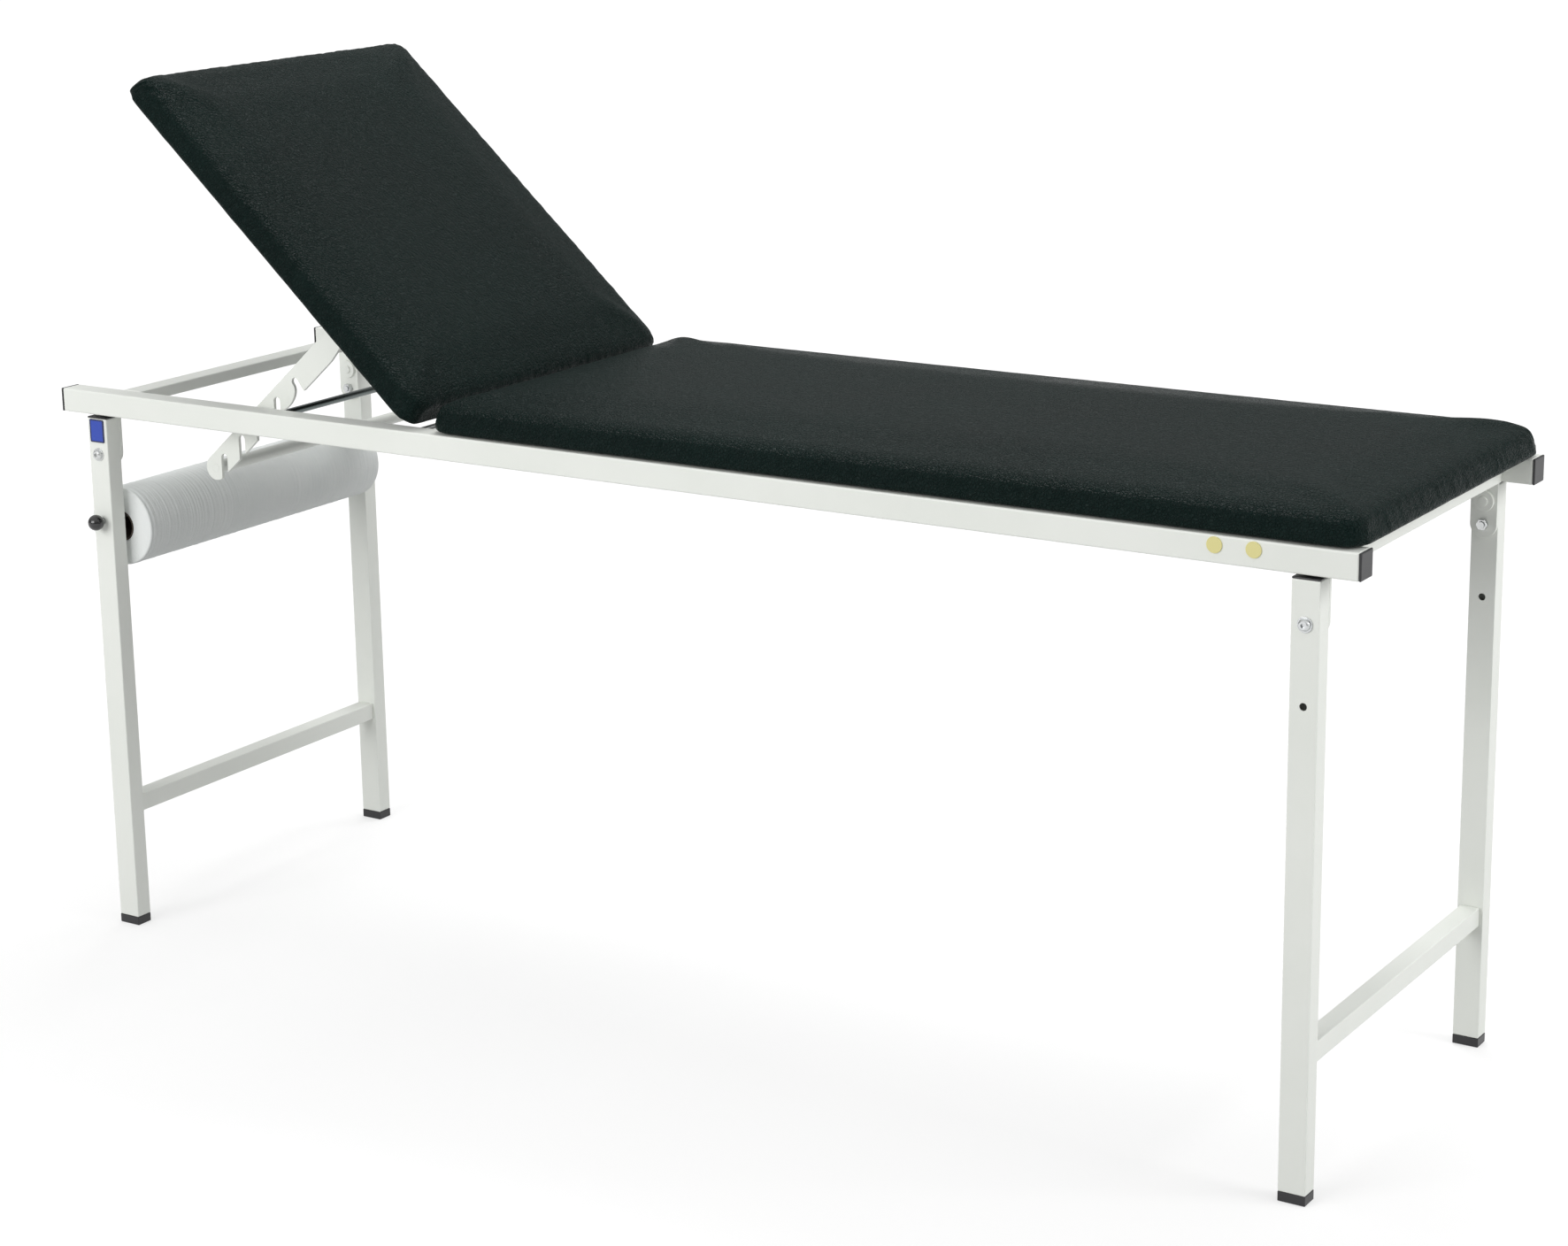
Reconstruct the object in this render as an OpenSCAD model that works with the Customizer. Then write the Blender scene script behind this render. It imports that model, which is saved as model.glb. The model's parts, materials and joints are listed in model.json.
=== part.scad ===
// Medical exam table: a padded couch with a raising backrest on a tube frame.
// Millimetres. +X runs to the foot end, +Y to the far side and +Z up.
// The origin is on the floor, under the middle of the frame.

/* [Frame] */
// Length of each side rail, without its end caps
rail_length = 1900; // [1750:10:2280]
// Width over the two side rails
frame_width = 560; // [460:10:680]
// Height of the top face of the rails
rail_top = 767; // [640:1:925]
// Side of the square rail tube
rail_size = 32; // [28:1:38]
// Wall of the rail tube
rail_wall = 2; // [1.5:0.1:3]
// Thickness of the flange of a rail end cap
cap_thickness = 3; // [2:0.5:5]
// Height of the head crossbar, which is shallow so that the prop passes under it
head_bar_height = 16; // [12:1:18]
// Side of each lower crossbar, which joins two legs
leg_bar_size = 25; // [20:1:30]
// Height of the underside of the lower crossbars
leg_bar_height = 162; // [100:1:300]

/* [Legs] */
// Width of a leg tube along X
leg_width = 34; // [28:1:40]
// Depth of a leg tube along Y
leg_depth = 25; // [20:1:30]
// Wall of the leg tube
leg_wall = 1.5; // [1:0.1:2.5]
// Distance from a rail's end to the centre line of its leg
leg_inset = 60; // [48:1:80]
// Open gap between the top of a leg and the rail
leg_gap = 3; // [1:0.5:6]
// Height of the foot plug below the tube
foot_height = 12; // [6:1:20]
// Thickness of the lug that a leg is bolted to
lug_thickness = 5; // [4:0.5:6]
// Diameter of the bolts that hold the legs
leg_bolt = 8; // [6:1:10]
// Drop from the rail to the leg bolt
leg_bolt_drop = 55; // [52:1:70]

/* [Paper roll] */
// Height of the spindle
spindle_height = 587; // [480:1:620]
// Diameter of the spindle
spindle_diameter = 8; // [6:0.5:10]
// Play of the spindle in its holes in the legs
spindle_play = 1; // [0.5:0.5:3]
// Length of the spindle past each side of the frame
spindle_overhang = 25; // [24:1:40]
// Diameter of the ball knob on the near end
knob_diameter = 22; // [18:1:24]
// Outer diameter of the paper roll
roll_diameter = 110; // [80:5:140]
// Gap between each end of the paper roll and the legs
roll_end_gap = 10; // [8:1:60]
// Bore of the cardboard core
core_bore = 38; // [30:1:45]
// Wall of the cardboard core
core_wall = 2; // [1:0.5:4]

/* [Pads] */
// Length of the backrest pad
backrest_length = 617; // [560:1:680]
// Head end of the seat pad, measured from the hinge axis
seat_start = 37; // [36:1:60]
// Reach of the seat pad past the foot end of the rails
seat_overhang = 3; // [0:1:20]
// Thickness of the two boards
board_thickness = 10; // [8:1:15]
// Height of a pad's straight side above its board
pad_side = 22; // [15:1:30]
// Height of a pad's crown above its side
pad_crown = 15; // [5:1:20]
// Corner radius of the pads in plan
pad_corner = 22; // [10:1:40]
// Distance that the upholstery stands outside its board
pad_lap = 3; // [1:0.5:5]

/* [Backrest] */
// Distance from the head end of the rails to the hinge axis
hinge_setback = 595; // [560:1:640]
// Drop from the top of the rails to the hinge axis
hinge_drop = 7; // [6.5:0.5:9]
// Diameter of the hinge rod
hinge_rod_diameter = 10; // [8:1:12]
// Distance of the hinge brackets from the rails
bracket_inset = 58; // [46:1:90]

/* [Prop] */
// Distance from the hinge to the prop's pin, along the backrest
pin_reach = 181.9; // [175:0.1:190]
// Depth of the prop's pin below the underside of the backrest board
pin_depth = 19; // [18:0.5:22]
// Diameter of the prop's pins
pin_diameter = 8; // [6:1:9]
// Distance from the hinge to the ratchet rod, along the rails
ratchet_reach = 291; // [285:1:300]
// Drop from the top of the rails to the ratchet rod
ratchet_drop = 25; // [23:1:27]
// Diameter of the ratchet rod
ratchet_diameter = 10; // [8:1:12]
// Thickness of each prop plate
prop_thickness = 5; // [4:0.5:6]
// Distance of the prop plates from the rails
prop_inset = 26; // [20:1:40]
// Height of a prop plate above the line of its notches
prop_above = 16; // [12:1:16]
// Depth of a prop plate below the line of its notches
prop_below = 18; // [15:1:22]
// Number of places along the prop at which the rod can sit, the flat one included
notches = 5; // [3:1:5]
// Diameter of the bar that joins the two prop plates
tie_bar_diameter = 17; // [12:1:18]

/* [Hidden] */
// Angle of the backrest as it stands
rest_angle = 42;
spindle_hole = spindle_diameter + spindle_play;
$fn = 48;

// Clearances and small fasteners
eps = 0.01;
pin_fit = 0.05;
plug_fit = 0.2;
running_gap = 0.3;
bolt_fit = 0.2;
plug_flange = 2;
plug_depth = 18;
washer = [18, 1.6];
bolt_head = [14.6, 5];
nut = [14.6, 6.5];
screw_shank = 5;
screw_head = [9, 2.6];
screw_bite = 7;

// Colours
powder_white = [0.90, 0.91, 0.90];
black_plastic = [0.08, 0.08, 0.08];
black_vinyl = [0.05, 0.05, 0.055];
zinc = [0.72, 0.73, 0.74];
plywood = [0.74, 0.60, 0.42];
paper_white = [0.96, 0.96, 0.95];
cardboard = [0.45, 0.36, 0.27];

// Frame places
rail_bottom = rail_top - rail_size;
rail_end = rail_length/2;
rail_inner = frame_width/2 - rail_size;
leg_x = rail_end - leg_inset;
leg_inner = frame_width/2 - leg_depth;
leg_top = rail_bottom - leg_gap - plug_flange;
lug_inner = leg_inner - lug_thickness;
prop_spread = rail_inner - prop_inset;
bracket_spread = rail_inner - bracket_inset;
roll_width = 2*(leg_inner - roll_end_gap);
leg_bolt_z = rail_bottom - leg_bolt_drop;
bush_drop = 26;
bush_z = rail_bottom - bush_drop;
bush = [26, 4];
bush_pin = [12, 2];
middle_bar_gap = 18;
foot_bar_inset = 38;
head_bar_offset = 22;

// Label and plugs on the near side
label_size = [25, 1.2, 32];
label_drop = 22;
label_z = rail_bottom - label_drop;
rail_plug = [19, 1.5];
rail_plug_stem = [13.6, 5];
rail_plug_insets = [122, 169];
rail_plug_drop = 11;
rail_plug_z = rail_top - rail_plug_drop;

// Backrest and prop, in the plane of X and Z with the hinge axis as the centre
hinge = [-rail_end + hinge_setback, rail_top - hinge_drop];
board_lift = hinge_drop + running_gap;
pad_setback = 2;
pad_top = pad_side + pad_crown;
pin_flat = [-pin_reach, board_lift - pin_depth];
ratchet = [-ratchet_reach, hinge_drop - ratchet_drop];
slot_radius = ratchet_diameter/2 + running_gap;

function raised(p, angle) =
    [p.x*cos(angle) + p.y*sin(angle), -p.x*sin(angle) + p.y*cos(angle)];
function pin_at(angle) = raised(pin_flat, angle);
function pin_span(angle) = norm(pin_at(angle) - ratchet);
function slope_to_rod(angle) =
    atan2(pin_at(angle).y - ratchet.y, pin_at(angle).x - ratchet.x);

// The prop swings in step with the backrest, by a constant ratio
slope_flat = slope_to_rod(0);
slope_rest = slope_to_rod(rest_angle);
function prop_slope(angle) = slope_flat + (slope_rest - slope_flat)*angle/rest_angle;

// A point of the frame, seen along the prop (x) and square to it (y)
function in_prop(p, angle) =
    let (d = p - pin_at(angle), slope = prop_slope(angle))
    [-d.x*cos(slope) - d.y*sin(slope), -d.x*sin(slope) + d.y*cos(slope)];

// The rod sits at place 0 with the backrest flat and at place 2 as it stands
rest_notch = 2;
notch_first = pin_span(0);
notch_pitch = (pin_span(rest_angle) - notch_first)/rest_notch;
cut_depth = 3*prop_below;
prop_eye = 12;
prop_neck = 40;
tip_reach = 22;
tip_radius = (prop_above + prop_below)/2;
tie_bar_end = tie_bar_diameter - 6;
tip_x = notch_first + notch_pitch*(notches - 1) + tip_reach;
tip_y = prop_above - tip_radius;
path_steps = 14;

// ---- Helpers ----

// A block between two opposite corners
module block(low, high) {
    translate(low)
        cube(high - low);
}

// A square tube between two corners, open along one axis (0 for X, 1 for Y, 2 for Z)
module tube(low, high, wall, axis) {
    inset = [for (i = [0:2]) i == axis ? -eps : wall];
    difference() {
        block(low, high);
        block(low + inset, high - inset);
    }
}

// A cylinder along Y that starts at a point and runs to y_end
module rod_y(x, z, y_start, y_end, diameter) {
    translate([x, max(y_start, y_end), z])
        rotate([90, 0, 0])
            cylinder(d = diameter, h = abs(y_end - y_start));
}

// An outline in X and Z, made a plate about the plane of y
module plate_y(y, thickness) {
    translate([0, y + thickness/2, 0])
        rotate([90, 0, 0])
            linear_extrude(thickness)
                children();
}

// A rectangle with round corners
module rounded_outline(low, high, radius) {
    for (x = [low.x + radius, high.x - radius], y = [low.y + radius, high.y - radius])
        translate([x, y])
            circle(radius);
    translate([low.x + radius, low.y])
        square([high.x - low.x - 2*radius, high.y - low.y]);
    translate([low.x, low.y + radius])
        square([high.x - low.x, high.y - low.y - 2*radius]);
}

// Places the children at each of the four legs, with the near side as drawn
module at_each_leg() {
    for (end = [-1, 1], side = [0, 1])
        at_leg(end, side)
            children();
}

// Places a child that is drawn for the near leg at x = 0
module at_leg(end, side) {
    translate([end*leg_x, 0, 0])
        mirror([0, side, 0])
            children();
}

// Turns what is drawn flat to the angle at which the backrest stands
module stand_up() {
    translate([hinge.x, 0, hinge.y])
        rotate([0, rest_angle, 0])
            children();
}

// Places what is drawn along the prop, with its pin as the centre
module along_prop() {
    pin = pin_at(rest_angle);
    translate([hinge.x + pin.x, 0, hinge.y + pin.y])
        rotate([0, -slope_rest, 0])
            mirror([1, 0, 0])
                children();
}

// ---- Frame ----

module rail(side) {
    color(powder_white)
        mirror([0, side, 0])
            difference() {
                tube([-rail_end, -frame_width/2, rail_bottom],
                    [rail_end, -rail_inner, rail_top], rail_wall, 0);
                if (side == 0)
                    for (inset = rail_plug_insets)
                        rod_y(rail_end - inset, rail_plug_z, -frame_width/2 - 1,
                            -frame_width/2 + rail_wall + 1, rail_plug_stem[0] + 2*plug_fit);
            }
}

module rail_cap(end, side) {
    fit = rail_wall + plug_fit;
    color(black_plastic)
        mirror([end < 0 ? 1 : 0, 0, 0])
            mirror([0, side, 0]) {
                block([rail_end, -frame_width/2, rail_bottom],
                    [rail_end + cap_thickness, -rail_inner, rail_top]);
                block([rail_end - plug_depth, -frame_width/2 + fit, rail_bottom + fit],
                    [rail_end + eps, -rail_inner - fit, rail_top - fit]);
            }
}

module crossbar(x_start, height, screwed) {
    color(powder_white)
        difference() {
            tube([x_start, -rail_inner, rail_top - height],
                [x_start + rail_size, rail_inner, rail_top], rail_wall, 1);
            if (screwed)
                for (side = [-1, 1])
                    translate([x_start + rail_size/2, side*frame_width/4, rail_top - height - 1])
                        cylinder(d = screw_shank + 2*bolt_fit, h = height + 2);
        }
}

middle_bar_x = hinge.x + seat_start + middle_bar_gap;
foot_bar_x = rail_end - foot_bar_inset - rail_size;
head_bar_x = -leg_x + head_bar_offset;

// ---- Legs ----

module leg(end, side) {
    color(powder_white)
        at_leg(end, side)
            difference() {
                tube([-leg_width/2, -frame_width/2, foot_height],
                    [leg_width/2, -leg_inner, leg_top], leg_wall, 2);
                rod_y(0, spindle_height, -frame_width/2 - 1, -leg_inner + 1, spindle_hole);
                rod_y(0, leg_bolt_z, -frame_width/2 - 1, -leg_inner + 1, leg_bolt + 2*bolt_fit);
            }
}

module leg_lug(end, side) {
    color(powder_white)
        at_leg(end, side) {
            plate_y(-leg_inner + lug_thickness/2, lug_thickness)
                difference() {
                    union() {
                        translate([0, leg_bolt_z])
                            circle(leg_width/2);
                        translate([-leg_width/2, leg_bolt_z])
                            square([leg_width, rail_bottom - leg_bolt_z]);
                    }
                    translate([0, leg_bolt_z])
                        circle(d = leg_bolt + 2*bolt_fit);
                }
            rod_y(0, bush_z, -lug_inner - eps, -lug_inner + bush[1], bush[0]);
            rod_y(0, bush_z, -lug_inner, -lug_inner + bush[1] + bush_pin[1], bush_pin[0]);
        }
}

module leg_crossbar(end) {
    color(powder_white)
        translate([end*leg_x, 0, 0])
            tube([-leg_bar_size/2, -leg_inner, leg_bar_height],
                [leg_bar_size/2, leg_inner, leg_bar_height + leg_bar_size], leg_wall, 1);
}

module leg_bolts() {
    outer = -frame_width/2 - washer[1];
    color(zinc)
        at_each_leg() {
            rod_y(0, leg_bolt_z, outer, -lug_inner + nut[1] + 2, leg_bolt);
            translate([0, outer, leg_bolt_z])
                rotate([90, 0, 0])
                    cylinder(d = bolt_head[0], h = bolt_head[1], $fn = 6);
        }
}

module leg_washers() {
    color(zinc)
        at_each_leg()
            difference() {
                rod_y(0, leg_bolt_z, -frame_width/2 - washer[1], -frame_width/2, washer[0]);
                rod_y(0, leg_bolt_z, -frame_width/2 - washer[1] - 1, -frame_width/2 + 1,
                    leg_bolt + 2*bolt_fit);
            }
}

module leg_nuts() {
    color(zinc)
        at_each_leg()
            translate([0, -lug_inner + nut[1], leg_bolt_z])
                rotate([90, 0, 0])
                    difference() {
                        cylinder(d = nut[0], h = nut[1], $fn = 6);
                        translate([0, 0, -1])
                            cylinder(d = leg_bolt + 2*pin_fit, h = nut[1] + 2);
                    }
}

// The spigot of a plug, which fills the leg tube from z_low to z_high
module leg_spigot(z_low, z_high) {
    fit = leg_wall + plug_fit;
    block([-leg_width/2 + fit, -frame_width/2 + fit, z_low],
        [leg_width/2 - fit, -leg_inner - fit, z_high]);
}

module foot_plugs() {
    color(black_plastic)
        at_each_leg() {
            block([-leg_width/2, -frame_width/2, 0], [leg_width/2, -leg_inner, foot_height]);
            leg_spigot(foot_height - eps, foot_height + plug_depth);
        }
}

module leg_top_plugs() {
    color(black_plastic)
        at_each_leg() {
            block([-leg_width/2, -frame_width/2, leg_top],
                [leg_width/2, -leg_inner, leg_top + plug_flange]);
            leg_spigot(leg_top - plug_depth, leg_top + eps);
        }
}

module label_plate() {
    color([0.15, 0.35, 0.70])
        translate([-leg_x - label_size.x/2, -frame_width/2 - label_size.y, label_z - label_size.z/2])
            cube(label_size);
}

module rail_plugs() {
    outer = -frame_width/2;
    color([0.93, 0.90, 0.62])
        for (inset = rail_plug_insets) {
            rod_y(rail_end - inset, rail_plug_z, outer - rail_plug[1], outer, rail_plug[0]);
            rod_y(rail_end - inset, rail_plug_z, outer - eps, outer + rail_plug_stem[1],
                rail_plug_stem[0]);
        }
}

// ---- Seat ----

seat_low = [hinge.x + seat_start, -frame_width/2];
seat_high = [rail_end + seat_overhang, frame_width/2];
lap = [pad_lap, pad_lap];

// A soft pad: a straight side and a crown that draws in by twice its own height
module cushion(low, high, base) {
    color(black_vinyl)
        hull() {
            translate([0, 0, base])
                linear_extrude(pad_side)
                    rounded_outline(low, high, pad_corner, $fn = 32);
            translate([0, 0, base + pad_side])
                linear_extrude(pad_crown)
                    rounded_outline(low + 2*[pad_crown, pad_crown],
                        high - 2*[pad_crown, pad_crown], pad_corner, $fn = 32);
        }
}

module seat_board() {
    color(plywood)
        difference() {
            translate([0, 0, rail_top])
                linear_extrude(board_thickness)
                    rounded_outline(seat_low + lap, seat_high - lap, pad_corner - pad_lap);
            seat_screw_places()
                translate([0, 0, rail_top - 1])
                    cylinder(d = screw_shank, h = screw_bite + 1);
        }
}

module seat_pad() {
    cushion(seat_low, seat_high, rail_top + board_thickness);
}

module seat_screw_places() {
    for (x = [middle_bar_x, foot_bar_x], side = [-1, 1])
        translate([x + rail_size/2, side*frame_width/4, 0])
            children();
}

module seat_screws() {
    color(zinc)
        seat_screw_places() {
            translate([0, 0, rail_bottom - screw_head[1]])
                cylinder(d = screw_head[0], h = screw_head[1]);
            translate([0, 0, rail_bottom - eps])
                cylinder(d = screw_shank, h = rail_size + screw_bite);
        }
}

// ---- Paper roll ----

roll_axis_z = spindle_height + spindle_diameter/2 + running_gap - core_bore/2;
core_diameter = core_bore + 2*core_wall;
spindle_end = frame_width/2 + spindle_overhang;

module roll_spindle() {
    color(zinc)
        rod_y(-leg_x, spindle_height, -spindle_end + knob_diameter/2, spindle_end,
            spindle_diameter);
}

module spindle_knob() {
    color(black_plastic)
        translate([-leg_x, -spindle_end + knob_diameter/2, spindle_height])
            difference() {
                sphere(d = knob_diameter);
                rotate([-90, 0, 0])
                    cylinder(d = spindle_diameter, h = knob_diameter);
            }
}

module roll_sleeve(outer, bore) {
    difference() {
        rod_y(-leg_x, roll_axis_z, -roll_width/2, roll_width/2, outer);
        rod_y(-leg_x, roll_axis_z, -roll_width/2 - 1, roll_width/2 + 1, bore);
    }
}

module paper_roll() {
    color(paper_white)
        roll_sleeve(roll_diameter, core_diameter);
}

module roll_core() {
    color(cardboard)
        roll_sleeve(core_diameter, core_bore);
}

// ---- Backrest, drawn flat about the hinge axis ----

back_low = [-pad_setback - backrest_length, -frame_width/2];
back_high = [-pad_setback, frame_width/2];
bracket_length = 62;
bracket_flange = [28, 3];
bracket_plate = 6;
bracket_end_gap = 3;
bracket_screw_y = -bracket_spread + bracket_flange[0]/2 + 3;
bracket_screws = [-22, -48];
lug_ear = [20, 4];
lug_gap = 0.7;
lug_base = [64, 3];
lug_base_width = prop_thickness + 2*(lug_gap + lug_ear[1]);
lug_screw_reach = 24;

module backrest_board() {
    color(plywood)
        stand_up()
            difference() {
                translate([0, 0, board_lift])
                    linear_extrude(board_thickness)
                        rounded_outline(back_low + lap, back_high - lap, pad_corner - pad_lap);
                backrest_screw_places()
                    translate([0, 0, -1])
                        cylinder(d = screw_shank, h = screw_bite + 1);
            }
}

module backrest_pad() {
    stand_up()
        cushion(back_low, back_high, board_lift + board_thickness);
}

// The hinge brackets: a plate that is bored for the rod, and a flange inside it
module hinge_brackets() {
    color(powder_white)
        stand_up()
            for (side = [0, 1])
                mirror([0, side, 0]) {
                    plate_y(-bracket_spread, bracket_plate)
                        difference() {
                            union() {
                                circle(board_lift);
                                translate([-bracket_length, -board_lift/2])
                                    square([bracket_length - pad_setback - bracket_end_gap, 1.5*board_lift]);
                            }
                            circle(d = hinge_rod_diameter + 2*pin_fit);
                        }
                    difference() {
                        block([-bracket_length, -bracket_spread, board_lift - bracket_flange[1]],
                            [-hinge_rod_diameter, -bracket_spread + bracket_flange[0], board_lift]);
                        for (x = bracket_screws)
                            translate([x, bracket_screw_y, 0])
                                cylinder(d = screw_shank + 2*pin_fit, h = board_lift + 1);
                    }
                }
}

// Each screw's place on the underside of the board
module backrest_screw_places() {
    for (side = [0, 1])
        mirror([0, side, 0])
            translate([0, 0, board_lift]) {
                for (x = bracket_screws)
                    translate([x, bracket_screw_y, 0])
                        children();
                for (x = [-lug_screw_reach, lug_screw_reach])
                    translate([pin_flat.x + x, -prop_spread, 0])
                        children();
            }
}

module backrest_screws() {
    color(zinc)
        stand_up()
            backrest_screw_places() {
                translate([0, 0, -bracket_flange[1] - screw_head[1]])
                    cylinder(d = screw_head[0], h = screw_head[1]);
                translate([0, 0, -bracket_flange[1] - eps])
                    cylinder(d = screw_shank, h = bracket_flange[1] + screw_bite);
            }
}

// The lugs that hold the prop's pins: a base on the board and two ears
module prop_lugs() {
    ear_centre = prop_thickness/2 + lug_gap + lug_ear[1]/2;
    color(powder_white)
        stand_up()
            for (side = [0, 1])
                mirror([0, side, 0]) {
                    for (ear = [-1, 1])
                        plate_y(-prop_spread + ear*ear_centre, lug_ear[1])
                            difference() {
                                union() {
                                    translate(pin_flat)
                                        circle(d = lug_ear[0]);
                                    translate([pin_flat.x - lug_ear[0]/2, pin_flat.y])
                                        square([lug_ear[0], pin_depth]);
                                }
                                translate(pin_flat)
                                    circle(d = pin_diameter + 2*pin_fit);
                            }
                    difference() {
                        translate([pin_flat.x - lug_base[0]/2, -prop_spread - lug_base_width/2,
                            board_lift - lug_base[1]])
                            cube([lug_base[0], lug_base_width, lug_base[1]]);
                        for (x = [-lug_screw_reach, lug_screw_reach])
                            translate([pin_flat.x + x, -prop_spread, board_lift - lug_base[1] - 1])
                                cylinder(d = screw_shank + 2*pin_fit, h = lug_base[1] + 2);
                    }
                }
}

// Each pin has a round head at both ends of its lug
module prop_pins() {
    reach = lug_base_width/2;
    head = [12, 2];
    color(zinc)
        stand_up()
            for (side = [0, 1])
                mirror([0, side, 0]) {
                    rod_y(pin_flat.x, pin_flat.y, -prop_spread - reach - eps,
                        -prop_spread + reach + eps, pin_diameter);
                    rod_y(pin_flat.x, pin_flat.y, -prop_spread - reach - head[1],
                        -prop_spread - reach, head[0]);
                    rod_y(pin_flat.x, pin_flat.y, -prop_spread + reach,
                        -prop_spread + reach + head[1], head[0]);
                }
}

// ---- Prop, drawn along +X from its pin, with its notches open downwards ----

// One notch: round at its seat, and upright as the prop stands
module notch(index) {
    translate([notch_first + index*notch_pitch, 0]) {
        circle(slot_radius);
        rotate(slope_rest)
            translate([-slot_radius, -cut_depth])
                square([2*slot_radius, cut_depth]);
    }
}

// What the ratchet rod sweeps as the backrest folds: all that lies below its way
module rod_path() {
    centres = [for (i = [0:path_steps]) in_prop(ratchet, rest_angle*i/path_steps)];
    upper = [for (i = [0:path_steps])
        let (along = centres[min(i + 1, path_steps)] - centres[max(i - 1, 0)])
        centres[i] + slot_radius*[-along.y, along.x]/norm(along)];
    along_notch = [sin(slope_rest), -cos(slope_rest)];
    lower_start = centres[0] - (upper[0] - centres[0]);
    polygon(concat(upper, [
        centres[path_steps] + cut_depth*along_notch,
        centres[0] - [0, cut_depth],
        lower_start]));
    translate(centres[0])
        circle(slot_radius);
}

// Points around part of a circle
function arc(centre, radius, start, end, steps = 16) =
    [for (i = [0:steps])
        let (angle = start + (end - start)*i/steps)
        centre + radius*[cos(angle), sin(angle)]];

module prop_outline() {
    difference() {
        polygon(concat(arc([0, 0], prop_eye, 90, 270), [[prop_neck, -prop_below]],
            arc([tip_x, tip_y], tip_radius, -90, 90), [[prop_neck, prop_above]]));
        circle(d = pin_diameter + 2*pin_fit);
        translate([tip_x, tip_y])
            circle(d = tie_bar_end);
        for (index = [1:notches - 1])
            notch(index);
        rod_path();
    }
}

module prop(side) {
    color(powder_white)
        along_prop()
            plate_y((side == 0 ? -1 : 1)*prop_spread, prop_thickness)
                prop_outline();
}

// The tie bar: a grip between the plates, with a thinner end through each
module prop_tie_bar() {
    inner = prop_spread - prop_thickness/2;
    outer = prop_spread + prop_thickness/2;
    color(powder_white)
        along_prop() {
            rod_y(tip_x, tip_y, -inner, inner, tie_bar_diameter);
            rod_y(tip_x, tip_y, -outer, outer, tie_bar_end);
        }
}

// ---- Nodes ----

rail(0);  // rail_near
rail(1);  // rail_far
crossbar(head_bar_x, head_bar_height, false);  // head_crossbar
crossbar(middle_bar_x, rail_size, true);  // middle_crossbar
crossbar(foot_bar_x, rail_size, true);  // foot_crossbar
rail_cap(-1, 0);  // rail_cap_head_near
rail_cap(-1, 1);  // rail_cap_head_far
rail_cap(1, 0);  // rail_cap_foot_near
rail_cap(1, 1);  // rail_cap_foot_far
leg(-1, 0);  // leg_head_near
leg(-1, 1);  // leg_head_far
leg(1, 0);  // leg_foot_near
leg(1, 1);  // leg_foot_far
leg_lug(-1, 0);  // leg_lug_head_near
leg_lug(-1, 1);  // leg_lug_head_far
leg_lug(1, 0);  // leg_lug_foot_near
leg_lug(1, 1);  // leg_lug_foot_far
leg_crossbar(-1);  // leg_crossbar_head
leg_crossbar(1);  // leg_crossbar_foot
leg_bolts();
leg_washers();
leg_nuts();
foot_plugs();
leg_top_plugs();
label_plate();
rail_plugs();
color(zinc) rod_y(hinge.x, hinge.y, -rail_inner, rail_inner, hinge_rod_diameter);  // hinge_rod
color(zinc) rod_y(hinge.x + ratchet.x, hinge.y + ratchet.y, -rail_inner, rail_inner,  // ratchet_rod
        ratchet_diameter);
seat_board();
seat_pad();
seat_screws();
roll_spindle();
spindle_knob();
paper_roll();
roll_core();
backrest_board();
backrest_pad();
hinge_brackets();
backrest_screws();
prop_lugs();
prop_pins();
prop(0);  // prop_near
prop(1);  // prop_far
prop_tie_bar();
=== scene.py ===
# %% [markdown]
# # A medical exam table, finished in Blender
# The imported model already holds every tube, bolt and hinge at its real size. This lesson
# dresses it: grained vinyl over swollen foam, powder-coated tube with soft edges, zinc
# bolts and a rippled paper roll. Lengths are in metres, +X runs to the foot end and +Z up.

# %% Load the frame
import json
import math

import bmesh
import bpy
import numpy as np
from mathutils import Matrix, Vector, noise


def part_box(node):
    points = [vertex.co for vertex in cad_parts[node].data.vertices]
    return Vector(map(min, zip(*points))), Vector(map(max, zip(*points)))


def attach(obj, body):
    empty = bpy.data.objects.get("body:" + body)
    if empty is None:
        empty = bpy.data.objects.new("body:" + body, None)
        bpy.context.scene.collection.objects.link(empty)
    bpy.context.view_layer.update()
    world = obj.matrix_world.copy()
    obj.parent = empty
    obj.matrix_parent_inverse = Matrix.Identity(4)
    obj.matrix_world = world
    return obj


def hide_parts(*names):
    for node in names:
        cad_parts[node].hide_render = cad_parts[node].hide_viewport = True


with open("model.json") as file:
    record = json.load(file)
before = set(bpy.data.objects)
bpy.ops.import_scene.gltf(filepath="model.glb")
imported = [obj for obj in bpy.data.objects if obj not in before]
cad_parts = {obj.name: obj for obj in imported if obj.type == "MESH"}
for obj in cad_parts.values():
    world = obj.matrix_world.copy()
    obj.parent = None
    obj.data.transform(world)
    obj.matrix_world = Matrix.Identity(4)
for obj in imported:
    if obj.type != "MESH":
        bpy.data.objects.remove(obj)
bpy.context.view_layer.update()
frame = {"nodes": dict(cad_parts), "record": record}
nodes = frame["nodes"]
MM = 0.001
joints = {joint["name"]: joint for joint in frame["record"]["behaviour"]["joints"]}
print("nodes in the frame:", len(nodes))

# %% [markdown]
# ## The camera
# A long lens from the foot end and the near side, a little above the pads. It comes first,
# so that every later piece can be judged from the same place.

# %% Place the camera
CAMERA_PLACE = Vector((2.2656, -3.4597, 1.6280))
CAMERA_TURN = 0.5714
CAMERA_DIP = 0.2437
CAMERA_ROLL = -0.015
SENSOR = 36
LENS = 75.24
FRAMING_SHIFT = -0.05

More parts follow.
